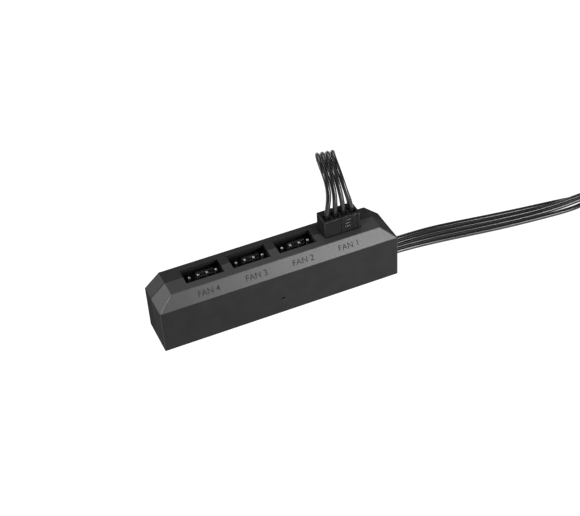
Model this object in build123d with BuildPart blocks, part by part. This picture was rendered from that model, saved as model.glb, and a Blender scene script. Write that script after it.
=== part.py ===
"""Four-way fan hub: a slim two-part moulded case with four pin headers on one board, its captive input
lead, and a fan lead plugged into the rightmost socket.

Millimetres. The origin is at the middle of the case's underside, +X runs along the case towards the end
where the input lead leaves, +Y to the back and +Z up.
"""

import os
from math import cos, radians, sin, sqrt, tan

from build123d import *

os.makedirs("parts", exist_ok=True)

# Case
housing_length = 70.0
housing_width = 12.4
housing_height = 17.0
bevel_foot = 13.2
front_bevel_inset = 2.3
end_bevel_inset = 4.4
wall = 1.2
edge_radius = 0.3
seam_offset = 1.2
seam_radius = 0.15

# Lip and snap hooks that join the two halves
lip_gap = 0.05
lip_thickness = 0.5
lip_reach = 0.8
lip_root = 1.0
hook_width = 1.6
hook_thickness = 0.8
hook_reach = 2.4
hook_barb = 0.4
hook_barb_length = 1.0
hook_clearance = 0.15

# Ribs that hold the board
rib_thickness = 1.0
rib_depth = 1.5
rib_socket_gap = 0.5
rib_drop = 2.4

# Sockets and pin headers
socket_count = 4
socket_pitch = 13.5
socket_shift = 0.3
opening_clearance_side = 0.1
opening_clearance_front = 0.4
opening_clearance_back = 0.2
pin_count = 4
pin_pitch = 2.54
pin_size = 0.64
pin_fit = 0.02
pin_tip = 0.2
pin_tail = 1.0
pin_height = 12.2
pin_row_offset = 0.85
header_end = 1.2
header_front = 2.48
header_back = 3.3
header_base = 3.2
header_edge = 0.15
tab_front = 2.29
tab_height = 10.3
tab_ridge = 0.25
tab_ridge_drop = 1.1

# Board and what is soldered to it
board_thickness = 1.6
board_floor_gap = 1.6
board_side_gap = 0.3
board_end_gap = 0.8
board_lead_gap = 2.6
board_slot_clearance = 0.1
board_hole_clearance = 0.07
solder_land = 0.33
solder_tip = 0.05
solder_height = 0.8
led_length = 3.0
led_depth = 1.2
led_height = 1.0
led_lens_radius = 0.35
led_lens_reach = 0.6
led_wall_gap = 0.2
led_hole_clearance = 0.1
resistor_size = (1.6, 0.8, 0.5)
resistor_back = 3.4
capacitor_size = (1.6, 3.2, 1.6)
capacitor_end_gap = 2.6
chip_edge = 0.12

# Plug that fits a header
plug_end = 1.55
plug_front = 2.15
plug_back = 3.15
plug_length = 14.2
plug_seat_gap = 0.2
plug_edge = 0.25
cavity_gap = 0.03
cavity_front = 1.25
cavity_back = 1.05
cavity_floor = 1.0
pin_entry_clearance = 0.18
tab_pocket_gap = 0.14
tab_pocket_side = 0.2
tab_pocket_end = 0.3
plug_rib_width = 0.5
plug_rib_height = 0.25
plug_rib_short = 4.6
plug_rib_short_place = 3.5
plug_rung_place = 1.55
plug_rung_count = 3
plug_rung_pitch = 1.1
plug_rung_width = 1.7
plug_rung_height = 0.45
plug_rung_drop = 1.3
plug_window = (1.2, 2.2)
plug_window_height = 3.6

# Crimp contact inside a plug
sleeve_width = 1.6
sleeve_fit = 0.04
sleeve_start = 1.2
sleeve_end = 9.1
barrel_wall = 0.19
barrel_length = 3.0
barrel_gap = 0.03

# Wires
wire_diameter = 1.4
lead_row = 0.3
lead_gap = 0.25
lead_rise = 0.35
lead_slot_clearance = 0.15
lead_pad = (2.4, 1.2, 0.9)
lead_pad_edge = 0.3
lead_board_overhang = 0.1
wire_sink = 0.2
fan_wire_straight = 3.5

# Hank of the input lead
hank_run = 24.0
hank_bend = 6.5
hank_gap = 0.1
hank_turns = 2
hank_stub = 1.0
tie_width = 3.0
tie_thickness = 0.6
tie_gap = 0.1
tie_head = (4.2, 3.6, 2.6)
tie_head_edge = 0.4

# Share of a wire's shorter run that each of its arcs takes up
bend_share = 0.45

# In-line connector at the end of the fan lead, placed from that lead's plug
connector_back = 12.55
connector_left = 30.0
connector_base = 9.0
connector_cavity = 4.2
connector_pin = 8.4
connector_tab = 7.2

half_length = housing_length / 2
half_width = housing_width / 2
bevel_rise = housing_height - bevel_foot
wire_radius = wire_diameter / 2
pin_span = (pin_count - 1) * pin_pitch
pin_corner = pin_size * sqrt(2) / 2
socket_row_half = socket_pitch * (socket_count - 1) / 2
fan_1 = socket_shift + socket_row_half

board_bottom = wall + board_floor_gap
board_top = board_bottom + board_thickness
board_width = housing_width - 2 * wall - 2 * board_side_gap
board_left = -half_length + wall + board_end_gap
board_right = half_length - wall - board_lead_gap
board_hole_radius = pin_corner + board_hole_clearance
solder_radius = board_hole_radius + solder_land
solder_tip_radius = pin_corner + solder_tip
led_axis = board_top + led_height / 2

header_width = pin_span + 2 * header_end
tab_width = 2 * pin_pitch
tab_middle = pin_pitch / 2
plug_width = pin_span + 2 * plug_end
plug_bottom = board_top + header_base + plug_seat_gap
tab_pocket_front = tab_front - tab_ridge - tab_pocket_gap
barrel_radius = wire_radius + barrel_gap + barrel_wall
cavity_width = 2 * (barrel_radius + cavity_gap)
opening_width = plug_width + 2 * opening_clearance_side
opening_front = pin_row_offset - plug_front - opening_clearance_front
opening_back = pin_row_offset + plug_back + opening_clearance_back
opening_depth = opening_back - opening_front

lead_pitch = wire_diameter + lead_gap
lead_height = board_top + lead_rise
lead_slot_width = (pin_count - 1) * lead_pitch + wire_diameter + 2 * lead_slot_clearance
lead_slot_height = wire_diameter + 2 * lead_slot_clearance
wall_cut = 5 * wall


def beside(place, shift):
    """The same plane, moved along its own X."""
    return Plane(place.from_local_coords((shift, 0, 0)), x_dir=place.x_dir, z_dir=place.z_dir)


def keep(piece, name):
    """Label a finished piece and write it."""
    piece.part.label = name
    export_step(piece.part, f"parts/{name}.step")


# Outside planes of the three bevels, with outward normals
front_bevel = Plane(
    origin=(0, -half_width, bevel_foot), x_dir=(1, 0, 0), z_dir=(0, -bevel_rise, front_bevel_inset)
)
right_bevel = Plane(
    origin=(half_length, 0, bevel_foot), x_dir=(0, 1, 0), z_dir=(bevel_rise, 0, end_bevel_inset)
)
left_bevel = Plane(
    origin=(-half_length, 0, bevel_foot), x_dir=(0, -1, 0), z_dir=(-bevel_rise, 0, end_bevel_inset)
)
seam = Plane.XZ.offset(-seam_offset)


def case_core(depth):
    """The outside form of the closed case, moved inwards by a depth."""
    with BuildPart() as core:
        with Locations((0, 0, housing_height / 2)):
            Box(housing_length - 2 * depth, housing_width - 2 * depth, housing_height - 2 * depth)
        for bevel in (front_bevel, right_bevel, left_bevel):
            split(bisect_by=bevel.offset(-depth), keep=Keep.BOTTOM)
    return core.part


def case_ring(outer_depth, inner_depth, start, end):
    """A band that follows the case's wall between two depths, from one Y to another."""
    with BuildPart() as ring:
        add(case_core(outer_depth))
        add(case_core(inner_depth), mode=Mode.SUBTRACT)
        split(bisect_by=Plane.XZ.offset(-end), keep=Keep.TOP)
        split(bisect_by=Plane.XZ.offset(-start), keep=Keep.BOTTOM)
    return ring.part


def case_half(side):
    """One hollow half of the case, with rounded edges and a finer round along the parting line."""
    with BuildPart() as half:
        add(case_core(0))
        split(bisect_by=seam, keep=side)
        seam_face = half.faces().filter_by(Axis.Y).sort_by(Axis.Y)[-1 if side == Keep.TOP else 0]
        seam_edges = seam_face.edges()
        fillet(half.edges() - seam_edges, edge_radius)
        seam_face = half.faces().filter_by(Axis.Y).sort_by(Axis.Y)[-1 if side == Keep.TOP else 0]
        fillet(seam_face.edges(), seam_radius)
        add(case_core(wall), mode=Mode.SUBTRACT)
    return half.part


rib_outer = socket_row_half + opening_width / 2 + rib_socket_gap + rib_thickness / 2
rib_places = [socket_shift + place for place in (-rib_outer, -socket_pitch, socket_pitch, rib_outer)]
hook_places = [fan_1 - socket_pitch * (n + 0.5) for n in range(socket_count - 1)]
rib_top = bevel_foot - rib_drop
slot_depth = board_width / 2 + board_slot_clearance - (half_width - wall - rib_depth)
slot_height = board_thickness + 2 * board_slot_clearance


def board_ribs(side):
    """Slotted ribs on the inside of a long wall, which hold one edge of the board."""
    rib_root = half_width - wall / 2
    rib_edge = half_width - wall - rib_depth
    rib_foot = wall / 2
    with BuildPart() as ribs:
        for place in rib_places:
            with Locations((place, side * (rib_root + rib_edge) / 2, (rib_foot + rib_top) / 2)):
                Box(rib_thickness, rib_root - rib_edge, rib_top - rib_foot)
        slot_middle = rib_edge + slot_depth / 2
        with Locations((0, side * slot_middle, board_top - board_thickness / 2)):
            Box(housing_length, slot_depth, slot_height, mode=Mode.SUBTRACT)
    return ribs.part


def hook_profile(face, up):
    """Side outline of a snap hook whose arm lies just off an inner face and whose barb points at it."""
    near = face + up * lip_gap
    far = near + up * hook_thickness
    tip = seam_offset - hook_reach
    root = seam_offset + lip_root
    catch = tip + hook_barb_length
    return [
        (root, near),
        (catch, near),
        (catch, near - up * hook_barb),
        (tip, near),
        (tip, far),
        (root, far),
    ]


def snap_hooks():
    """Hooks of the rear half, along the floor and under the top."""
    with BuildPart() as hooks:
        for place in hook_places:
            for face, up in ((wall, 1), (housing_height - wall, -1)):
                with BuildSketch(Plane.YZ.offset(place)):
                    with BuildLine():
                        Polyline(*hook_profile(face, up), close=True)
                    make_face()
                extrude(amount=hook_width / 2, both=True)
    return hooks.part


def shared_cuts():
    """What is cut from both halves: the socket openings in the top, and the input lead's slot in the end."""
    with BuildPart() as cuts:
        with Locations((socket_shift, (opening_front + opening_back) / 2, housing_height)):
            with GridLocations(socket_pitch, 0, socket_count, 1):
                Box(opening_width, opening_depth, wall_cut)
        with Locations((half_length, lead_row, lead_height)):
            Box(wall_cut, lead_slot_width, lead_slot_height)
    return cuts.part


# Front half of the case
with BuildPart() as front_shell:
    add(case_half(Keep.TOP))
    add(board_ribs(-1))
    add(shared_cuts(), mode=Mode.SUBTRACT)
    with Locations(Plane(origin=(0, -half_width, led_axis), z_dir=(0, -1, 0))):
        Hole(led_lens_radius + led_hole_clearance, depth=2 * wall)
    catch_length = hook_barb_length + 2 * hook_clearance
    catch_middle = seam_offset - hook_reach + hook_barb_length / 2
    catch_depth = hook_barb + hook_clearance - lip_gap
    for face in (wall, housing_height - wall):
        with Locations((socket_shift, catch_middle, face)):
            with GridLocations(socket_pitch, 0, socket_count - 1, 1):
                Box(hook_width + 2 * hook_clearance, catch_length, 2 * catch_depth, mode=Mode.SUBTRACT)
keep(front_shell, "front_shell")

# Rear half of the case, with its lip and hooks
with BuildPart() as rear_shell:
    add(case_half(Keep.BOTTOM))
    add(case_ring(wall, wall + lip_gap + lip_thickness, seam_offset, seam_offset + lip_root))
    add(case_ring(wall + lip_gap, wall + lip_gap + lip_thickness, seam_offset - lip_reach, seam_offset))
    add(snap_hooks())
    add(board_ribs(1))
    add(shared_cuts(), mode=Mode.SUBTRACT)
keep(rear_shell, "rear_shell")

# Places of the headers and of their pins
socket_places = [fan_1 - socket_pitch * n for n in range(socket_count)]
pin_places = [pin_pitch * ((pin_count - 1) / 2 - n) for n in range(pin_count)]

# Board
with BuildPart() as circuit_board:
    with Locations(((board_left + board_right) / 2, 0, board_top - board_thickness / 2)):
        Box(board_right - board_left, board_width, board_thickness)
    with Locations((socket_shift, pin_row_offset, board_top)):
        with GridLocations(socket_pitch, 0, socket_count, 1):
            with GridLocations(pin_pitch, 0, pin_count, 1):
                Hole(board_hole_radius, depth=2 * board_thickness)
keep(circuit_board, "circuit_board")


def tab_profile(foot, top):
    """Side outline of a header's friction tab, with the ridge that a plug clicks over."""
    ridge = top - tab_ridge_drop
    return [
        (tab_front, foot),
        (tab_front, ridge - 2 * tab_ridge),
        (tab_front - tab_ridge, ridge),
        (tab_front, ridge + tab_ridge),
        (tab_front + tab_ridge, top),
        (header_back, top),
        (header_back, foot),
    ]


def pin_body(place, base, tab):
    """Body of a pin header or in-line connector: a block with square pin holes and a friction tab."""
    with BuildPart(place) as body:
        with Locations((0, (header_back - header_front) / 2, base / 2)):
            Box(header_width, header_back + header_front, base)
        chamfer(body.edges().filter_by(Axis(place.origin, place.z_dir)), header_edge)
        with BuildSketch(Plane(place.origin, x_dir=place.y_dir, z_dir=place.x_dir).offset(tab_middle)):
            with BuildLine():
                Polyline(*tab_profile(base / 2, tab), close=True)
            make_face()
        extrude(amount=tab_width / 2, both=True)
        with Locations((0, 0, base / 2)):
            with GridLocations(pin_pitch, 0, pin_count, 1):
                Box(pin_size + pin_fit, pin_size + pin_fit, 2 * base, mode=Mode.SUBTRACT)
    return body


def pin_post(place, start, end):
    """One square post with bevelled tips."""
    upright = Axis(place.origin, place.z_dir)
    with BuildPart(place) as post:
        with Locations((0, 0, (start + end) / 2)):
            Box(pin_size, pin_size, end - start)
        tips = post.faces().sort_by(upright)[0].edges() + post.faces().sort_by(upright)[-1].edges()
        chamfer(tips, pin_tip)
    return post


# Headers and their posts, numbered from the lead's end of the case
for number, place in enumerate(socket_places, 1):
    seat = Plane(origin=(place, pin_row_offset, board_top))
    keep(pin_body(seat, header_base, tab_height), f"fan_header_{number}")
    for pin_number, pin_place in enumerate(pin_places, 1):
        post = pin_post(beside(seat, pin_place), -board_thickness - pin_tail, pin_height)
        keep(post, f"fan_header_{number}_pin_{pin_number}")

# Solder joints of the headers, under the board
with BuildPart() as header_solder:
    with BuildSketch(Plane.XY.offset(board_bottom)):
        with Locations((socket_shift, pin_row_offset)):
            with GridLocations(socket_pitch, 0, socket_count, 1):
                with GridLocations(pin_pitch, 0, pin_count, 1):
                    Circle(solder_radius)
                    Rectangle(pin_size, pin_size, mode=Mode.SUBTRACT)
    extrude(amount=-solder_height)
    lower = header_solder.faces().filter_by(Axis.Z).group_by(Axis.Z)[0]
    rims = lower.edges().filter_by(GeomType.CIRCLE)
    chamfer(rims, solder_radius - solder_tip_radius)
keep(header_solder, "header_solder")

# Status light behind the pinhole, with its lens in the hole
led_front = -half_width + wall + led_wall_gap
with BuildPart() as status_led:
    with Locations((0, led_front + led_depth / 2, led_axis)):
        Box(led_length, led_depth, led_height)
    chamfer(status_led.edges().filter_by(Axis.Y), chip_edge)
    with Locations(Plane(origin=(0, led_front, led_axis), z_dir=(0, -1, 0))):
        Cylinder(led_lens_radius, led_lens_reach, align=(Align.CENTER, Align.CENTER, Align.MIN))
    fillet(status_led.faces().sort_by(Axis.Y)[0].edges(), led_lens_radius / 2)
keep(status_led, "status_led")


def chip(middle, size):
    """A small surface-mounted chip that lies on the board."""
    length, depth, height = size
    with BuildPart() as body:
        with Locations((middle[0], middle[1], board_top + height / 2)):
            Box(length, depth, height)
        chamfer(body.edges(), chip_edge)
    return body


keep(chip((0, led_front + resistor_back), resistor_size), "led_resistor")
keep(chip((board_left + capacitor_end_gap, 0), capacitor_size), "filter_capacitor")


def plug_body(place):
    """Housing of a plug: contact cavities, tab pocket, latch windows, and ribs on the front."""
    along = Axis(place.origin, place.z_dir)
    pocket_length = tab_height - header_base - plug_seat_gap + tab_pocket_end
    rib_foot = plug_length - plug_rib_short
    pin_entry = pin_size + 2 * pin_entry_clearance
    with BuildPart(place) as body:
        with Locations((0, (plug_back - plug_front) / 2, plug_length / 2)):
            Box(plug_width, plug_back + plug_front, plug_length)
        fillet(body.edges().filter_by(along), plug_edge)
        with Locations((0, -plug_front, plug_length / 2)):
            Box(plug_rib_width, 2 * plug_rib_height, plug_length)
        with Locations((plug_width / 2 - plug_edge - plug_rib_width / 2, -plug_front, plug_length / 2)):
            Box(plug_rib_width, 2 * plug_rib_height, plug_length)
        with Locations((plug_rib_short_place, -plug_front, rib_foot + plug_rib_short / 2)):
            Box(plug_rib_width, 2 * plug_rib_height, plug_rib_short)
        for rung in range(plug_rung_count):
            rung_height = plug_length - plug_rung_drop - plug_rung_pitch * rung
            with Locations((plug_rung_place, -plug_front, rung_height)):
                Box(plug_rung_width, 2 * plug_rib_height, plug_rung_height)
        with Locations((tab_middle, tab_pocket_front, 0)):
            Box(
                tab_width + 2 * tab_pocket_side,
                plug_back,
                pocket_length,
                align=(Align.CENTER, Align.MIN, Align.MIN),
                mode=Mode.SUBTRACT,
            )
        with Locations((0, (cavity_back - cavity_front) / 2, cavity_floor)):
            with GridLocations(pin_pitch, 0, pin_count, 1):
                Box(
                    cavity_width,
                    cavity_front + cavity_back,
                    plug_length,
                    align=(Align.CENTER, Align.CENTER, Align.MIN),
                    mode=Mode.SUBTRACT,
                )
        with GridLocations(pin_pitch, 0, pin_count, 1):
            Box(pin_entry, pin_entry, 3 * cavity_floor, mode=Mode.SUBTRACT)
        with Locations((0, -plug_front, plug_window_height)):
            with GridLocations(pin_pitch, 0, pin_count, 1):
                Box(plug_window[0], 2 * (plug_front - cavity_front), plug_window[1], mode=Mode.SUBTRACT)
    return body


def crimp_contact(place):
    """A contact in its cavity: a square sleeve that takes the post, and a barrel round the wire's end."""
    sleeve_bore = pin_size + 2 * sleeve_fit
    with BuildPart(place) as contact:
        with Locations((0, 0, (sleeve_start + sleeve_end) / 2)):
            Box(sleeve_width, sleeve_width, sleeve_end - sleeve_start)
        chamfer(contact.edges().filter_by(Axis(place.origin, place.z_dir)), chip_edge)
        with Locations((0, 0, sleeve_end - wire_sink)):
            Cylinder(barrel_radius, barrel_length, align=(Align.CENTER, Align.CENTER, Align.MIN))
        with Locations((0, 0, sleeve_end)):
            Cylinder(
                wire_radius + barrel_gap,
                barrel_length,
                align=(Align.CENTER, Align.CENTER, Align.MIN),
                mode=Mode.SUBTRACT,
            )
        Box(sleeve_bore, sleeve_bore, 2 * (sleeve_end - wire_sink), mode=Mode.SUBTRACT)
    return contact


def plug_with_contacts(place, name):
    """A plug and its contacts, each a piece of its own."""
    keep(plug_body(place), name)
    for number, pin_place in enumerate(pin_places, 1):
        keep(crimp_contact(beside(place, pin_place)), f"{name}_contact_{number}")


# Plug of the fan lead, seated in the first socket
fan_plug_seat = Plane(origin=(fan_1, pin_row_offset, plug_bottom))
plug_with_contacts(fan_plug_seat, "fan_plug")

# In-line connector of the fan lead: it lies on the floor behind the case, with its posts towards -X
connector_end = (fan_1 - connector_left, pin_row_offset + connector_back, header_front)
connector_seat = Plane(origin=connector_end, x_dir=(0, -1, 0), z_dir=(-1, 0, 0))
with BuildPart() as fan_connector:
    add(pin_body(connector_seat, connector_base, connector_base + connector_tab).part)
    for pin_place in pin_places:
        with BuildSketch(beside(connector_seat, pin_place)):
            Rectangle(cavity_width, cavity_width)
        extrude(amount=connector_cavity, mode=Mode.SUBTRACT)
keep(fan_connector, "fan_connector")
for number, pin_place in enumerate(pin_places, 1):
    post = pin_post(beside(connector_seat, pin_place), connector_cavity, connector_base + connector_pin)
    keep(post, f"fan_connector_pin_{number}")

# Inside the hank the wires lie two wide and two high
hank_pitch = wire_diameter + hank_gap
hank_base = tie_thickness + tie_gap
hank_first = hank_base + wire_radius

# Input lead: from the end of the case along the floor to the hank.
# Each row is the middle of the four wires, from the end of the case and the lead's row, with the height above
# the floor, the half spacings of the outer and the inner pair, and how far the inner pair is lifted.
lead_start = board_right + lead_board_overhang - half_length
lead_route = [
    (lead_start, 0.0, lead_height, 1.5 * lead_pitch, 0.5 * lead_pitch, 0.0),
    (0.4, 0.0, lead_height, 1.5 * lead_pitch, 0.5 * lead_pitch, 0.0),
    (4.6, 0.03, 4.62, 2.55, 0.85, 0.0),
    (10.2, 0.15, 4.2, 2.78, 0.93, 0.0),
    (17.0, 0.35, 3.4, 2.97, 0.99, 0.0),
    (26.0, 0.3, 2.2, 3.0, 1.0, 0.0),
    (36.0, -0.2, 1.2, 2.9, 0.97, 0.0),
    (46.5, -1.1, 0.75, 2.7, 0.9, 0.0),
    (55.0, -2.1, 0.78, 2.5, 0.85, 0.5),
    (60.0, -2.75, 0.95, 2.15, 0.8, 1.2),
    (63.6, -3.15, 1.2, 1.4, 0.75, 1.5),
    (66.4, -3.3, hank_first, hank_pitch / 2, hank_pitch / 2, hank_pitch),
    (69.0, -3.3, hank_first, hank_pitch / 2, hank_pitch / 2, hank_pitch),
]

# Hank: the wires go round it in whole turns, each on top of the last
hank_entry = half_length + lead_route[-1][0]
hank_row = lead_row + lead_route[-1][1]
hank_pair = hank_pitch / 2 + wire_radius
hank_outer = hank_bend + hank_pair
hank_inner = hank_bend - hank_pair
hank_left = hank_entry + hank_stub + hank_outer
hank_right = hank_left + hank_run
hank_exit = hank_right + hank_outer + hank_stub
hank_middle = ((hank_left + hank_right) / 2, hank_row + hank_bend)
hank_climb = 2 * hank_pitch * hank_turns
hank_top = hank_base + 2 * hank_pair + hank_climb
with BuildPart() as input_hank:
    with BuildSketch(Plane.XY.offset(hank_base)):
        with Locations(hank_middle):
            SlotCenterToCenter(hank_run, 2 * hank_outer)
            SlotCenterToCenter(hank_run, 2 * hank_inner, mode=Mode.SUBTRACT)
    extrude(amount=hank_top - hank_base)
    with Locations(((hank_entry + hank_left) / 2, hank_row, hank_base + hank_pair)):
        Box(hank_left - hank_entry, 2 * hank_pair, 2 * hank_pair)
    with Locations(((hank_exit + hank_right) / 2, hank_row, hank_top - hank_pair)):
        Box(hank_exit - hank_right, 2 * hank_pair, 2 * hank_pair)
keep(input_hank, "input_hank")

# Tie round the middle of the hank, with its head on top
tie_inside = (2 * hank_outer + 2 * tie_gap, hank_top - hank_base + 2 * tie_gap)
tie_middle = (hank_middle[1], (hank_top + hank_base) / 2)
with BuildPart() as input_hank_tie:
    with BuildSketch(Plane.YZ.offset(hank_middle[0])):
        with Locations(tie_middle):
            RectangleRounded(
                tie_inside[0] + 2 * tie_thickness, tie_inside[1] + 2 * tie_thickness, tie_thickness
            )
            Rectangle(*tie_inside, mode=Mode.SUBTRACT)
    extrude(amount=tie_width / 2, both=True)
    with Locations((hank_middle[0], hank_middle[1], hank_top + tie_gap)):
        Box(tie_head[0], tie_head[1], tie_head[2], align=(Align.CENTER, Align.CENTER, Align.MIN))
    fillet(input_hank_tie.faces().sort_by(Axis.Z)[-1].edges(), tie_head_edge)
keep(input_hank_tie, "input_hank_tie")

# Tail of the input lead: down from the hank's top turn into the plug, which lies on its back.
# Rows as in the lead's route, from the hank's exit.
tail_first = hank_first + hank_climb
plug_wire_end = 20.0
tail_end = plug_wire_end + plug_length - sleeve_end - wire_sink
tail_route = [
    (0.0, 0.0, tail_first, hank_pitch / 2, hank_pitch / 2, hank_pitch),
    (2.6, 0.0, tail_first, hank_pitch / 2, hank_pitch / 2, hank_pitch),
    (6.2, 0.05, 6.9, 1.2, 0.75, 1.5),
    (10.2, 0.1, 5.7, 2.2, 0.9, 1.2),
    (14.2, 0.1, 4.4, 3.2, 1.1, 0.5),
    (17.6, 0.05, 3.45, 3.75, 1.25, 0.1),
    (21.4, 0.0, plug_back, 1.5 * pin_pitch, 0.5 * pin_pitch, 0.0),
    (tail_end, 0.0, plug_back, 1.5 * pin_pitch, 0.5 * pin_pitch, 0.0),
]
input_plug_place = (hank_exit + plug_wire_end + plug_length, hank_row, plug_back)
plug_with_contacts(Plane(input_plug_place, x_dir=(0, 1, 0), z_dir=(-1, 0, 0)), "input_plug")

# Fan lead: up out of its plug, over and down behind the case, and along the floor to its connector.
# Each row is the middle of the four wires, from the plug's pin row, with the height above the floor, the
# wires' spacing, and the direction of their row, in degrees from +X.
fan_lead_start = plug_bottom + sleeve_end + wire_sink
fan_route = [
    (0.0, 0.0, fan_lead_start, pin_pitch, 0),
    (0.0, 0.0, fan_lead_start + fan_wire_straight, pin_pitch, 0),
    (0.15, 0.12, 24.5, 2.3, 0),
    (0.25, 0.95, 28.1, 1.66, 0),
    (0.3, 2.9, 31.2, 1.46, 0),
    (0.35, 5.6, 33.5, 1.46, 0),
    (0.8, 8.8, 34.4, 1.46, -3),
    (1.85, 12.0, 33.9, 1.46, -8),
    (2.95, 14.6, 32.0, 1.46, -13),
    (4.0, 16.3, 29.1, 1.46, -18),
    (5.13, 17.1, 25.3, 1.51, -24),
    (6.3, 17.4, 21.1, 1.55, -30),
    (7.2, 17.3, 16.8, 1.7, -37),
    (7.74, 17.0, 12.6, 2.13, -45),
    (7.6, 16.6, 8.8, 2.6, -55),
    (6.6, 15.9, 5.2, 1.95, -65),
    (4.4, 15.1, 2.6, 1.6, -75),
    (0.8, 14.3, 1.2, 1.48, -83),
    (-3.9, 13.6, 0.78, 1.48, -88),
    (-8.9, 13.1, 0.75, 1.5, -90),
    (-14.0, 12.85, 0.78, 1.65, -90),
    (-19.2, 12.7, 1.1, 1.95, -90),
    (-24.4, 12.6, 1.9, 2.35, -90),
    (-29.4, connector_back, header_front, pin_pitch, -90),
    (-connector_left - connector_cavity, connector_back, header_front, pin_pitch, -90),
]


def bend_radii(points):
    """The largest round that each corner of a route leaves room for."""
    radii = []
    for before, here, after in zip(points, points[1:], points[2:]):
        arrive = here - before
        leave = after - here
        half_turn = radians(arrive.get_angle(leave)) / 2
        radii.append(bend_share * min(arrive.length, leave.length) / tan(half_turn))
    return radii


def wire(name, points):
    """A plain round wire along straight runs joined by tangent arcs."""
    corners = [Vector(*point) for point in points]
    radii = bend_radii(corners)
    with BuildPart() as tube:
        with BuildLine() as path:
            FilletPolyline(*corners, radius=radii)
        with BuildSketch(Plane(path.line @ 0, z_dir=path.line % 0)):
            Circle(wire_radius)
        sweep()
    length = path.wires()[0].length
    section = tube.part.volume / length
    print(f"{name}: length {length:.1f}, tightest radius {min(radii):.1f}, section {section:.3f}")
    keep(tube, name)


wire_steps = [n - (pin_count - 1) / 2 for n in range(pin_count)]


def lead_points(route, start, row, step):
    """One wire's own points in the input lead."""
    side = 1 if step > 0 else -1
    is_outer = abs(step) > 1
    points = []
    for x, y, z, outer_half, inner_half, lift in route:
        half = outer_half if is_outer else inner_half
        points.append((start + x, row + y + side * half, z if is_outer else z + lift))
    return points


def fan_points(step):
    """One wire's own points in the fan lead."""
    points = []
    for x, y, z, pitch, turn in fan_route:
        across = step * pitch * cos(radians(turn))
        along = step * pitch * sin(radians(turn))
        points.append((fan_1 + x + across, pin_row_offset + y + along, z))
    return points


for number, step in enumerate(wire_steps, 1):
    wire(f"input_wire_{number}", lead_points(lead_route, half_length, lead_row, step))
    wire(f"input_tail_{number}", lead_points(tail_route, hank_exit, hank_row, step))
    wire(f"fan_wire_{number}", fan_points(step))

# Solder joints of the input lead, on the board's end
with BuildPart() as lead_solder:
    pad_end = half_length + lead_start
    for step in wire_steps:
        with Locations((pad_end, lead_row + step * lead_pitch, board_top)):
            Box(*lead_pad, align=(Align.MAX, Align.CENTER, Align.MIN))
    chamfer(lead_solder.faces().sort_by(Axis.Z).group_by(Axis.Z)[-1].edges(), lead_pad_edge)
keep(lead_solder, "lead_solder")
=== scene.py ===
"""Looks of the four-way fan hub: camera, wires, finishes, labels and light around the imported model.

Sizes and places are in millimetres unless said otherwise, and MM turns them into metres. The frame is the
model's: the origin at the middle of the case's underside, +X to the end where the input lead leaves,
+Y to the back and +Z up.
"""

import math

import bpy
from mathutils import Matrix, Vector


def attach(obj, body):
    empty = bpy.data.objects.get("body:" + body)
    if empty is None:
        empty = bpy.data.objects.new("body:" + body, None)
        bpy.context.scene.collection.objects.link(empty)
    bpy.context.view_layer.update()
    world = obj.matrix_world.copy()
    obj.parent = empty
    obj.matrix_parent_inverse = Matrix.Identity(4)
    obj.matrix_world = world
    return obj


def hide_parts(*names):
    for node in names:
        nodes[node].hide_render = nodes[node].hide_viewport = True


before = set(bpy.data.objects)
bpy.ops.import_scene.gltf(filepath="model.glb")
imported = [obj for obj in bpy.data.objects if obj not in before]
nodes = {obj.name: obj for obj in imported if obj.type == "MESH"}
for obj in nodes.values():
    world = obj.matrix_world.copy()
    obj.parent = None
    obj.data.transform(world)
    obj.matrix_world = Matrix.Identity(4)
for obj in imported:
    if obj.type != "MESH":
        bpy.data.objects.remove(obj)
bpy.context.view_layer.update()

MM = 0.001

# Camera, from the photograph's perspective
VIEW_AZIMUTH = math.radians(-21.26)
VIEW_ELEVATION = math.radians(39.89)
VIEW_ROLL = math.radians(-3.96)
VIEW_OFFSET = Vector((3.92, 11.26, 365.83)) * MM
FOCAL_PIXELS = 1310.07
IMAGE_WIDTH = 580
SENSOR_WIDTH = 36.0

# Case, as in the part's own sizes
CASE_END = 35.0
CASE_DEPTH = 12.4
BAND_FOOT = 13.2
BAND_RISE = 3.8
BAND_INSET = 2.3
BAND_SLOPE = Vector((0, BAND_INSET, BAND_RISE)).normalized()
BAND_OUT = Vector((0, -BAND_RISE, BAND_INSET)).normalized()

# Faces with another finish: a direction, and the cosines between which the finish changes
CASE_SIDES = [((0, -1, 0), 0.9, 0.97), ((-1, 0, 0), 0.8, 0.95), ((1, 0, 0), 0.45, 0.6)]
CASE_TOP = [((0, 0, 1), 0.9, 0.97)]
CASE_MITRES = [((side * 0.392, -0.513, 0.764), 0.95, 0.98) for side in (-1, 1)]
PLUG_SIDES = [(side, 0.9, 0.97) for side in ((0, -1, 0), (-1, 0, 0), (1, 0, 0), (0, 0, 1))]

# Finishes of such faces: the faces, a roughness, and a specular level or None for the material's own
COARSE = (0.9, 0.1)
CASE_ZONES = [(CASE_SIDES, *COARSE), (CASE_TOP, 0.75, None), (CASE_MITRES, 0.31, 1.0)]
PLUG_ZONES = [(PLUG_SIDES, *COARSE)]

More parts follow.
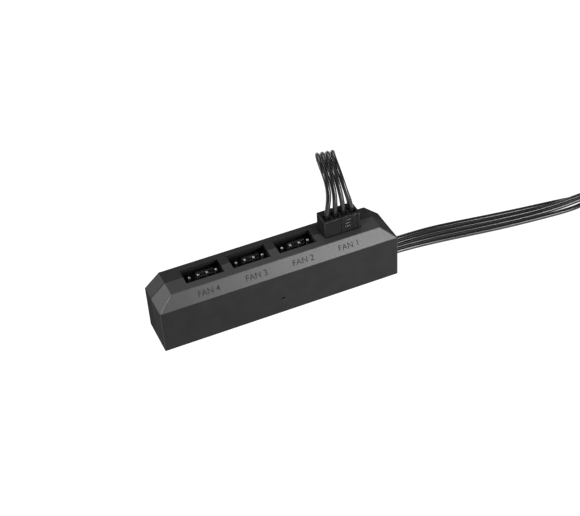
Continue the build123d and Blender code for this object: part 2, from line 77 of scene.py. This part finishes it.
# Moulded finishes. The texture's size and the softened edge are in millimetres, its depth in micrometres
FRONT_CASE = {
    "colour": (0.028, 0.028, 0.029),
    "roughness": 0.43,
    "specular": 0.44,
    "edge": 0.3,
    "zones": CASE_ZONES,
}
REAR_CASE = {**FRONT_CASE, "colour": (0.014, 0.014, 0.0146), "specular": 0.2}
HEADER_NYLON = {
    "colour": (0.016, 0.016, 0.017),
    "roughness": 0.42,
    "specular": 0.6,
    "texture": 0.1,
    "depth": 2.5,
}
HEADER_LIP = {**HEADER_NYLON, "roughness": 0.25, "specular": 1.0, "depth": 3.0}
PLUG_NYLON = {
    "colour": (0.015, 0.015, 0.0156),
    "roughness": 0.35,
    "specular": 1.0,
    "texture": 0.12,
    "zones": PLUG_ZONES,
}
TIE_NYLON = {
    "colour": (0.024, 0.024, 0.025),
    "roughness": 0.38,
    "specular": 0.35,
    "texture": 0.2,
    "depth": 4.0,
}
LAMP_EPOXY = {
    "colour": (0.08, 0.08, 0.08),
    "roughness": 0.2,
    "specular": 0.5,
    "texture": 0.2,
    "depth": 1.0,
}
CHIP_BLACK = {
    "colour": (0.02, 0.02, 0.02),
    "roughness": 0.4,
    "specular": 0.5,
    "texture": 0.08,
    "depth": 2.0,
}
CHIP_TAN = {**CHIP_BLACK, "colour": (0.42, 0.31, 0.2), "roughness": 0.45}
TONE_CHANGE = 0.1
GLOSS_CHANGE = 0.025
COARSE_RATIO = 3.2
FINE_SHARE = 0.6

# Other finishes. A metal's marks are stretched along the way it was drawn
TIN_PLATE = {"colour": (0.28, 0.276, 0.264), "roughness": 0.42}
SOLDER = {"colour": (0.62, 0.62, 0.61), "roughness": 0.32, "stretch": (3, 3, 3)}
BRASS = {"colour": (0.72, 0.60, 0.36), "roughness": 0.3, "stretch": (2, 2, 2)}
DRAWN_UP = (1, 1, 14)
DRAWN_ALONG = (14, 1, 1)
WIRE_SKIN = {"colour": (0.012, 0.012, 0.0126), "roughness": 0.21, "specular": 0.46}
WIRE_GLOSS_CHANGE = 0.015
MASK_GREEN = (0.012, 0.045, 0.024)
LABEL_INK = {"colour": (0.024, 0.024, 0.025), "specular": 0.2}

# Labels on the slanted band
LABEL_X = (20.55, 6.85, -6.85, -20.55)
LABEL_SIZE = 2.35
LABEL_TRACKING = 1.02
LABEL_WEIGHT = 0.012
LABEL_BASELINE = 1.4
LABEL_STANDOFF = 0.006
LABEL_THICKNESS = 0.006

# Rounded lip on the friction tab of an open socket
TAB_FRONT = 2.54
TAB_FIRST = -0.5
TAB_LAST = 1.5
TAB_LIP = 0.1
OPEN_SOCKETS = (2, 3, 4)

# Light. The floor's size is in metres. A soft box has its place, its aim, its width and its power in watts
FLOOR_SIZE = 6
FLOOR_SHARE = 0.24
FLOOR_GLOW = 0.93
AMBIENT = 0.05
LAMPS = [
    ("key", (138, -265, 110), (10, 0, 10), 130, 0.9),
    ("rim", (-190, 190, 120), (-20, 0, 10), 150, 0.26),
    ("back", (110, 250, 230), (0, 0, 10), 200, 0.3),
    ("high", (-175, -85, 265), (-20, 0, 12), 80, 0.5),
    ("top", (90, -56, 330), (0, 0, 12), 80, 0.1),
    ("side", (62, -110, 14), (30, -6, 8), 40, 0.045),
]

# Wires, as in the part's own routes
WIRE_COUNT = 4
WIRE_RADIUS = 0.7
LEAD_ROW = 0.3
LEAD_HEIGHT = 4.75
LEAD_PITCH = 1.65
PIN_PITCH = 2.54
HANK_RUN = 24.0
HANK_BEND = 6.5
HANK_PITCH = 1.5
HANK_TURNS = 2
HANK_FIRST = 1.4
HANK_STUB = 1.0
HANK_END_POINTS = 6
FAN_X = 20.55
PIN_ROW = 0.85

# Rows of the input lead: x from the case's end, y from the lead's row, height, half spacings of the outer
# and the inner pair, and how far the inner pair is lifted
LEAD_ROUTE = [
    (-3.7, 0.0, LEAD_HEIGHT, 1.5 * LEAD_PITCH, 0.5 * LEAD_PITCH, 0.0),
    (0.4, 0.0, LEAD_HEIGHT, 1.5 * LEAD_PITCH, 0.5 * LEAD_PITCH, 0.0),
    (4.6, 0.03, 4.62, 2.55, 0.85, 0.0),
    (10.2, 0.15, 4.2, 2.78, 0.93, 0.0),
    (17.0, 0.35, 3.4, 2.97, 0.99, 0.0),
    (26.0, 0.3, 2.2, 3.0, 1.0, 0.0),
    (36.0, -0.2, 1.2, 2.9, 0.97, 0.0),
    (46.5, -1.1, 0.75, 2.7, 0.9, 0.0),
    (55.0, -2.1, 0.78, 2.5, 0.85, 0.5),
    (60.0, -2.75, 0.95, 2.15, 0.8, 1.2),
    (63.6, -3.15, 1.2, 1.4, 0.75, 1.5),
    (66.4, -3.3, HANK_FIRST, HANK_PITCH / 2, HANK_PITCH / 2, HANK_PITCH),
    (69.0, -3.3, HANK_FIRST, HANK_PITCH / 2, HANK_PITCH / 2, HANK_PITCH),
]

# Hank, worked out from where the lead enters it
HANK_ENTRY = CASE_END + LEAD_ROUTE[-1][0]
HANK_ROW = LEAD_ROW + LEAD_ROUTE[-1][1]
HANK_OUTER = HANK_BEND + HANK_PITCH / 2 + WIRE_RADIUS
HANK_LEFT = HANK_ENTRY + HANK_STUB + HANK_OUTER
HANK_RIGHT = HANK_LEFT + HANK_RUN
HANK_EXIT = HANK_RIGHT + HANK_OUTER + HANK_STUB
HANK_CLIMB = 2 * HANK_PITCH
TAIL_FIRST = HANK_FIRST + HANK_CLIMB * HANK_TURNS

# Rows of the input lead's tail, from the hank's exit
TAIL_ROUTE = [
    (0.0, 0.0, TAIL_FIRST, HANK_PITCH / 2, HANK_PITCH / 2, HANK_PITCH),
    (2.6, 0.0, TAIL_FIRST, HANK_PITCH / 2, HANK_PITCH / 2, HANK_PITCH),
    (6.2, 0.05, 6.9, 1.2, 0.75, 1.5),
    (10.2, 0.1, 5.7, 2.2, 0.9, 1.2),
    (14.2, 0.1, 4.4, 3.2, 1.1, 0.5),
    (17.6, 0.05, 3.45, 3.75, 1.25, 0.1),
    (21.4, 0.0, 3.15, 1.5 * PIN_PITCH, 0.5 * PIN_PITCH, 0.0),
    (24.9, 0.0, 3.15, 1.5 * PIN_PITCH, 0.5 * PIN_PITCH, 0.0),
]

# Rows of the fan lead: x and y from its plug's pins, height, spacing, and the row's direction in degrees
FAN_ROUTE = [
    (0.0, 0.0, 17.1, PIN_PITCH, 0),
    (0.0, 0.0, 20.6, PIN_PITCH, 0),
    (0.15, 0.12, 24.5, 2.3, 0),
    (0.25, 0.95, 28.1, 1.66, 0),
    (0.3, 2.9, 31.2, 1.46, 0),
    (0.35, 5.6, 33.5, 1.46, 0),
    (0.8, 8.8, 34.4, 1.46, -3),
    (1.85, 12.0, 33.9, 1.46, -8),
    (2.95, 14.6, 32.0, 1.46, -13),
    (4.0, 16.3, 29.1, 1.46, -18),
    (5.13, 17.1, 25.3, 1.51, -24),
    (6.3, 17.4, 21.1, 1.55, -30),
    (7.2, 17.3, 16.8, 1.7, -37),
    (7.74, 17.0, 12.6, 2.13, -45),
    (7.6, 16.6, 8.8, 2.6, -55),
    (6.6, 15.9, 5.2, 1.95, -65),
    (4.4, 15.1, 2.6, 1.6, -75),
    (0.8, 14.3, 1.2, 1.48, -83),
    (-3.9, 13.6, 0.78, 1.48, -88),
    (-8.9, 13.1, 0.75, 1.5, -90),
    (-14.0, 12.85, 0.78, 1.65, -90),
    (-19.2, 12.7, 1.1, 1.95, -90),
    (-24.4, 12.6, 1.9, 2.35, -90),
    (-29.4, 12.55, 2.48, PIN_PITCH, -90),
    (-34.2, 12.55, 2.48, PIN_PITCH, -90),
]


def make_camera():
    """The camera at the photograph's angle."""
    turn = Matrix.Rotation(VIEW_AZIMUTH, 3, "Z")
    turn @= Matrix.Rotation(math.pi / 2 - VIEW_ELEVATION, 3, "X")
    turn @= Matrix.Rotation(VIEW_ROLL, 3, "Z")
    data = bpy.data.cameras.new("camera")
    data.sensor_fit = "HORIZONTAL"
    data.sensor_width = SENSOR_WIDTH
    data.lens = FOCAL_PIXELS * SENSOR_WIDTH / IMAGE_WIDTH
    data.clip_start = 0.01
    data.clip_end = 20
    camera = bpy.data.objects.new("camera", data)
    camera.rotation_euler = turn.to_euler()
    camera.location = turn @ VIEW_OFFSET
    bpy.context.scene.collection.objects.link(camera)
    bpy.context.scene.camera = camera


def lead_points(route, start, row, step):
    """One wire's own points along the input lead or its tail."""
    side = 1 if step > 0 else -1
    is_outer = abs(step) > 1
    points = []
    for x, y, z, outer_half, inner_half, lift in route:
        half = outer_half if is_outer else inner_half
        points.append((start + x, row + y + side * half, z if is_outer else z + lift))
    return points


def hank_points(step):
    """One wire's points round the hank: each end is a half circle, and each turn lies on the last."""
    side = 1 if step > 0 else -1
    radius = HANK_BEND - side * HANK_PITCH / 2
    height = HANK_FIRST if abs(step) > 1 else HANK_FIRST + HANK_PITCH
    middle = HANK_ROW + HANK_BEND
    spread = math.pi / HANK_END_POINTS
    reach = radius / math.cos(spread / 2)
    points = []
    for turn in range(HANK_TURNS):
        for end, centre in enumerate((HANK_RIGHT, HANK_LEFT)):
            for n in range(HANK_END_POINTS):
                angle = math.pi * end + spread * (n + 0.5)
                share = (end * HANK_END_POINTS + n + 0.5) / (2 * HANK_END_POINTS)
                x = centre + reach * math.sin(angle)
                y = middle - reach * math.cos(angle)
                points.append((x, y, height + HANK_CLIMB * (turn + share)))
    return points


def fan_points(step):
    """One wire's own points along the fan lead."""
    points = []
    for x, y, z, pitch, turn in FAN_ROUTE:
        across = step * pitch * math.cos(math.radians(turn))
        along = step * pitch * math.sin(math.radians(turn))
        points.append((FAN_X + x + across, PIN_ROW + y + along, z))
    return points


def make_wire(name, points):
    """A round wire on one smooth line, with the route's points as its control points."""
    curve = bpy.data.curves.new(name, "CURVE")
    curve.dimensions = "3D"
    spline = curve.splines.new("NURBS")
    spline.points.add(len(points) - 1)
    for control, point in zip(spline.points, points):
        control.co = (*(Vector(point) * MM), 1)
        control.radius = WIRE_RADIUS * MM
    spline.order_u = 3
    spline.use_endpoint_u = True
    spline.resolution_u = 8
    curve.bevel_depth = 1
    curve.bevel_resolution = 5
    curve.use_fill_caps = True
    wire = bpy.data.objects.new(name, curve)
    bpy.context.scene.collection.objects.link(wire)
    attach(wire, "root")
    return wire


def make_cords():
    """The four wires of the input lead and the four of the fan lead."""
    numbers = range(1, WIRE_COUNT + 1)
    input_pieces = [nodes["input_plug"], nodes["input_hank_tie"]]
    input_pieces += [nodes[f"input_plug_contact_{n}"] for n in numbers]
    fan_pieces = [nodes["fan_plug"], nodes["fan_connector"]]
    fan_pieces += [nodes[f"fan_plug_contact_{n}"] for n in numbers]
    fan_pieces += [nodes[f"fan_connector_pin_{n}"] for n in numbers]
    wires = []
    for number in numbers:
        step = number - (WIRE_COUNT + 1) / 2
        lead = lead_points(LEAD_ROUTE, CASE_END, LEAD_ROW, step)
        tail = lead_points(TAIL_ROUTE, HANK_EXIT, HANK_ROW, step)
        wire = make_wire(f"input_cord_{number}", lead + hank_points(step) + tail)
        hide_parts(f"input_wire_{number}", f"input_tail_{number}", "input_hank")
        wires.append(wire)
        wire = make_wire(f"fan_cord_{number}", fan_points(step))
        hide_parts(f"fan_wire_{number}")
        wires.append(wire)
    return wires


def add_node(tree, kind, **values):
    """A new node with its settings: a name that is one of its inputs sets that input."""
    node = tree.nodes.new(kind)
    for name, value in values.items():
        if name in node.inputs:
            node.inputs[name].default_value = value
        else:
            setattr(node, name, value)
    return node


def new_material(name):
    """A node material, its tree, and its main shader."""
    material = bpy.data.materials.new(name)
    material.use_nodes = True
    tree = material.node_tree
    return material, tree, tree.nodes["Principled BSDF"]


def grain(tree, size, stretch=(1, 1, 1), detail=3.0):
    """Noise whose features have a size in millimetres, stretched along the axes."""
    place = add_node(tree, "ShaderNodeTexCoord")
    scale = add_node(tree, "ShaderNodeVectorMath", operation="MULTIPLY")
    scale.inputs[1].default_value = [1 / (size * MM * s) for s in stretch]
    noise = add_node(tree, "ShaderNodeTexNoise", Scale=1.0, Detail=detail, Roughness=0.55)
    tree.links.new(place.outputs["Object"], scale.inputs[0])
    tree.links.new(scale.outputs[0], noise.inputs["Vector"])
    return noise.outputs["Fac"]


def spread(tree, source, low, high):
    """A noise's middle range, mapped to run from one value to another."""
    mapped = add_node(tree, "ShaderNodeMapRange")
    mapped.inputs["From Min"].default_value = 0.3
    mapped.inputs["From Max"].default_value = 0.7
    mapped.inputs["To Min"].default_value = low
    mapped.inputs["To Max"].default_value = high
    tree.links.new(source, mapped.inputs["Value"])
    return mapped.outputs["Result"]


def tinted(tree, source, colour, change):
    """A colour that a noise makes a little darker and lighter."""
    mix = add_node(tree, "ShaderNodeMix", data_type="RGBA")
    mix.inputs["A"].default_value = (*[c * (1 - change) for c in colour], 1)
    mix.inputs["B"].default_value = (*[c * (1 + change) for c in colour], 1)
    tree.links.new(spread(tree, source, 0, 1), mix.inputs["Factor"])
    return mix.outputs["Result"]


def relief(tree, shader, layers, normal=None):
    """Bump from several noises, each with its depth in micrometres, on a given normal or the plain one."""
    for source, depth in layers:
        bump = add_node(tree, "ShaderNodeBump", Strength=1.0, Distance=depth * 1e-6)
        tree.links.new(source, bump.inputs["Height"])
        if normal:
            tree.links.new(normal, bump.inputs["Normal"])
        normal = bump.outputs["Normal"]
    tree.links.new(normal, shader.inputs["Normal"])


def facing(tree, normal, axis, low, high):
    """0 to 1 as a normal turns to an axis: the cosine runs from low to high."""
    cosine = add_node(tree, "ShaderNodeVectorMath", operation="DOT_PRODUCT")
    cosine.inputs[1].default_value = axis
    mask = add_node(tree, "ShaderNodeMapRange")
    mask.inputs["From Min"].default_value = low
    mask.inputs["From Max"].default_value = high
    tree.links.new(normal, cosine.inputs[0])
    tree.links.new(cosine.outputs["Value"], mask.inputs["Value"])
    return mask.outputs["Result"]


def facing_any(tree, normal, directions):
    """The greatest of several facing masks, each with its axis, low and high."""
    mask = None
    for axis, low, high in directions:
        one = facing(tree, normal, axis, low, high)
        if mask:
            either = add_node(tree, "ShaderNodeMath", operation="MAXIMUM")
            tree.links.new(mask, either.inputs[0])
            tree.links.new(one, either.inputs[1])
            one = either.outputs[0]
        mask = one
    return mask


def blend(tree, mask, first, second):
    """From one value or socket to another, by a mask."""
    mix = add_node(tree, "ShaderNodeMix")
    tree.links.new(mask, mix.inputs["Factor"])
    for name, value in (("A", first), ("B", second)):
        if isinstance(value, bpy.types.NodeSocket):
            tree.links.new(value, mix.inputs[name])
        else:
            mix.inputs[name].default_value = value
    return mix.outputs["Result"]


def moulded(name, colour, roughness, specular, texture=0.16, depth=3.0, edge=0.15, zones=()):
    """Moulded plastic: a fine eroded texture, softened edges, and a slightly uneven tone and gloss.

    Faces that look in the directions of a zone have its roughness and specular level.
    """
    material, tree, shader = new_material(name)
    rounded = add_node(tree, "ShaderNodeBevel", samples=6, Radius=edge * MM).outputs["Normal"]
    slow = grain(tree, size=5.0)
    fine = grain(tree, size=texture)
    coarse = grain(tree, size=texture * COARSE_RATIO)
    tree.links.new(tinted(tree, slow, colour, TONE_CHANGE), shader.inputs["Base Color"])
    gloss = spread(tree, coarse, roughness - GLOSS_CHANGE, roughness + GLOSS_CHANGE)
    shader.inputs["Specular IOR Level"].default_value = specular
    level = specular
    for directions, zone_roughness, zone_specular in zones:
        mask = facing_any(tree, rounded, directions)
        zone_gloss = spread(tree, coarse, zone_roughness - GLOSS_CHANGE, zone_roughness + GLOSS_CHANGE)
        gloss = blend(tree, mask, gloss, zone_gloss)
        if zone_specular is not None:
            level = blend(tree, mask, level, zone_specular)
            tree.links.new(level, shader.inputs["Specular IOR Level"])
    tree.links.new(gloss, shader.inputs["Roughness"])
    relief(tree, shader, [(coarse, depth), (fine, depth * FINE_SHARE)], rounded)
    return material


def drawn_metal(name, colour, roughness, stretch):
    """Plated metal with fine marks along the way it was drawn or stamped."""
    material, tree, shader = new_material(name)
    marks = grain(tree, size=0.05, stretch=stretch)
    stain = grain(tree, size=0.9)
    tree.links.new(tinted(tree, stain, colour, change=0.12), shader.inputs["Base Color"])
    tree.links.new(spread(tree, marks, roughness - 0.08, roughness + 0.1), shader.inputs["Roughness"])
    shader.inputs["Metallic"].default_value = 1.0
    relief(tree, shader, [(marks, 1.5)])
    return material


def wire_skin(name, colour, roughness, specular):
    """Extruded wire insulation: satin, with faint length marks and slow dents."""
    material, tree, shader = new_material(name)
    slow = grain(tree, size=2.4)
    fine = grain(tree, size=0.12)
    tree.links.new(tinted(tree, slow, colour, change=0.12), shader.inputs["Base Color"])
    gloss = spread(tree, fine, roughness - WIRE_GLOSS_CHANGE, roughness + WIRE_GLOSS_CHANGE)
    tree.links.new(gloss, shader.inputs["Roughness"])
    shader.inputs["Specular IOR Level"].default_value = specular
    relief(tree, shader, [(slow, 6.0), (fine, 0.5)])
    return material


def board_laminate(name, colour):
    """Solder-masked board: a glossy coat over a faint glass weave."""
    material, tree, shader = new_material(name)
    place = add_node(tree, "ShaderNodeTexCoord")
    weave = add_node(tree, "ShaderNodeTexWave", Scale=1 / (1.2 * MM), Distortion=0.6, Detail=1.0)
    tree.links.new(place.outputs["Object"], weave.inputs["Vector"])
    slow = grain(tree, size=1.5)
    tree.links.new(tinted(tree, slow, colour, change=0.2), shader.inputs["Base Color"])
    tree.links.new(spread(tree, slow, low=0.22, high=0.34), shader.inputs["Roughness"])
    relief(tree, shader, [(weave.outputs["Fac"], 3.0), (slow, 4.0)])
    return material


def printed_ink(name, colour, specular):
    """Pad-printed ink: matte, thin, and a little uneven."""
    material, tree, shader = new_material(name)
    fine = grain(tree, size=0.08)
    slow = grain(tree, size=0.7)
    tree.links.new(tinted(tree, slow, colour, change=0.15), shader.inputs["Base Color"])
    tree.links.new(spread(tree, fine, low=0.55, high=0.75), shader.inputs["Roughness"])
    shader.inputs["Specular IOR Level"].default_value = specular
    relief(tree, shader, [(fine, 4.0)])
    return material


def dress(names, material):
    """Give CAD nodes a finish in place of their plain one."""
    for name in names:
        slots = nodes[name].data.materials
        slots.clear()
        slots.append(material)


def dress_model(wires):
    """Finishes of all nodes and wires."""
    numbers = range(1, WIRE_COUNT + 1)
    dress(["front_shell"], moulded("front_case", **FRONT_CASE))
    dress(["rear_shell"], moulded("rear_case", **REAR_CASE))
    dress([f"fan_header_{n}" for n in numbers], moulded("header_nylon", **HEADER_NYLON))
    posts = [f"fan_header_{n}_pin_{p}" for n in numbers for p in numbers]
    dress(posts, drawn_metal("tin_plate", **TIN_PLATE, stretch=DRAWN_UP))
    connector_posts = [f"fan_connector_pin_{n}" for n in numbers]
    dress(connector_posts, drawn_metal("tin_plate_flat", **TIN_PLATE, stretch=DRAWN_ALONG))
    dress(["header_solder", "lead_solder"], drawn_metal("solder", **SOLDER))
    dress(["circuit_board"], board_laminate("solder_mask", MASK_GREEN))
    dress(["status_led"], moulded("lamp_epoxy", **LAMP_EPOXY))
    dress(["led_resistor"], moulded("chip_black", **CHIP_BLACK))
    dress(["filter_capacitor"], moulded("chip_tan", **CHIP_TAN))
    dress(["fan_plug", "input_plug", "fan_connector"], moulded("plug_nylon", **PLUG_NYLON))
    contacts = [f"{plug}_contact_{n}" for plug in ("fan_plug", "input_plug") for n in numbers]
    dress(contacts, drawn_metal("stamped_brass", **BRASS))
    dress(["input_hank_tie"], moulded("tie_nylon", **TIE_NYLON))
    insulation = wire_skin("insulation", **WIRE_SKIN)
    for wire in wires:
        wire.data.materials.append(insulation)


def make_labels():
    """A printed label under each socket, on the slanted band."""
    ink = printed_ink("label_ink", **LABEL_INK)
    for number, middle in enumerate(LABEL_X, 1):
        text = bpy.data.curves.new(f"label_{number}", "FONT")
        text.body = f"FAN {number}"
        text.size = LABEL_SIZE * MM
        text.space_character = LABEL_TRACKING
        text.offset = LABEL_WEIGHT * MM
        text.align_x = "CENTER"
        text.align_y = "BOTTOM_BASELINE"
        text.extrude = LABEL_THICKNESS * MM
        text.resolution_u = 4
        label = bpy.data.objects.new(f"label_{number}", text)
        label.rotation_euler = (math.atan2(BAND_RISE, BAND_INSET), 0, 0)
        foot = Vector((middle, -CASE_DEPTH / 2, BAND_FOOT))
        label.location = (foot + BAND_SLOPE * LABEL_BASELINE + BAND_OUT * LABEL_STANDOFF) * MM
        text.materials.append(ink)
        bpy.context.scene.collection.objects.link(label)
        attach(label, "root")


def make_tab_lips():
    """The rounded top edge of the friction tab in each socket that no plug fills."""
    nylon = moulded("header_lip", **HEADER_LIP)
    for number in OPEN_SOCKETS:
        header = nodes[f"fan_header_{number}"]
        corners = [header.matrix_world @ Vector(corner) for corner in header.bound_box]
        middle = sum(corner.x for corner in corners) / len(corners)
        top = max(corner.z for corner in corners)
        curve = bpy.data.curves.new(f"tab_lip_{number}", "CURVE")
        curve.dimensions = "3D"
        spline = curve.splines.new("POLY")
        spline.points.add(1)
        for control, step in zip(spline.points, (TAB_FIRST, TAB_LAST)):
            x = middle + step * PIN_PITCH * MM
            y = (PIN_ROW + TAB_FRONT + TAB_LIP / 2) * MM
            control.co = (x, y, top - TAB_LIP / 2 * MM, 1)
            control.radius = TAB_LIP * MM
        curve.bevel_depth = 1
        curve.bevel_resolution = 4
        curve.use_fill_caps = True
        lip = bpy.data.objects.new(f"tab_lip_{number}", curve)
        lip.data.materials.append(nylon)
        bpy.context.scene.collection.objects.link(lip)
        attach(lip, "root")


def is_background_ray(tree):
    """1 for rays that should see the white background: camera, glossy and transmission rays."""
    path = add_node(tree, "ShaderNodeLightPath")
    either = add_node(tree, "ShaderNodeMath", operation="MAXIMUM")
    tree.links.new(path.outputs["Is Camera Ray"], either.inputs[0])
    tree.links.new(path.outputs["Is Glossy Ray"], either.inputs[1])
    any_of = add_node(tree, "ShaderNodeMath", operation="MAXIMUM")
    tree.links.new(either.outputs[0], any_of.inputs[0])
    tree.links.new(path.outputs["Is Transmission Ray"], any_of.inputs[1])
    return any_of.outputs[0]


def make_floor():
    """A plain white floor: it glows to the camera, and its diffuse share keeps the object's shadow."""
    bpy.ops.mesh.primitive_plane_add(size=FLOOR_SIZE)
    floor = bpy.context.object
    floor.name = "floor"
    material = bpy.data.materials.new("floor")
    material.use_nodes = True
    tree = material.node_tree
    tree.nodes.clear()
    output = add_node(tree, "ShaderNodeOutputMaterial")
    paper = add_node(tree, "ShaderNodeBsdfDiffuse", Color=(FLOOR_SHARE, FLOOR_SHARE, FLOOR_SHARE, 1))
    glow = add_node(tree, "ShaderNodeEmission", Color=(1, 1, 1, 1))
    level = add_node(tree, "ShaderNodeMath", operation="MULTIPLY")
    level.inputs[1].default_value = FLOOR_GLOW
    both = add_node(tree, "ShaderNodeAddShader")
    tree.links.new(is_background_ray(tree), level.inputs[0])
    tree.links.new(level.outputs[0], glow.inputs["Strength"])
    tree.links.new(paper.outputs[0], both.inputs[0])
    tree.links.new(glow.outputs[0], both.inputs[1])
    tree.links.new(both.outputs[0], output.inputs["Surface"])
    floor.data.materials.append(material)


def make_world():
    """Soft even light from all round."""
    world = bpy.data.worlds.new("world")
    world.use_nodes = True
    background = world.node_tree.nodes["Background"]
    background.inputs["Color"].default_value = (1, 1, 1, 1)
    background.inputs["Strength"].default_value = AMBIENT
    bpy.context.scene.world = world


def make_lamp(name, place, aim, size, energy):
    """A square soft box that faces a point, with its energy in watts."""
    data = bpy.data.lights.new(name, "AREA")
    data.shape = "SQUARE"
    data.size = size * MM
    data.energy = energy
    lamp = bpy.data.objects.new(name, data)
    lamp.visible_camera = False
    lamp.location = Vector(place) * MM
    direction = Vector(aim) - Vector(place)
    lamp.rotation_euler = direction.to_track_quat("-Z", "Y").to_euler()
    bpy.context.scene.collection.objects.link(lamp)


make_camera()
wires = make_cords()
dress_model(wires)
make_labels()
make_tab_lips()
make_floor()
make_world()
for name, place, aim, size, energy in LAMPS:
    make_lamp(name, place, aim, size, energy)

bpy.context.scene.view_settings.view_transform = "Standard"
bpy.context.view_layer.update()
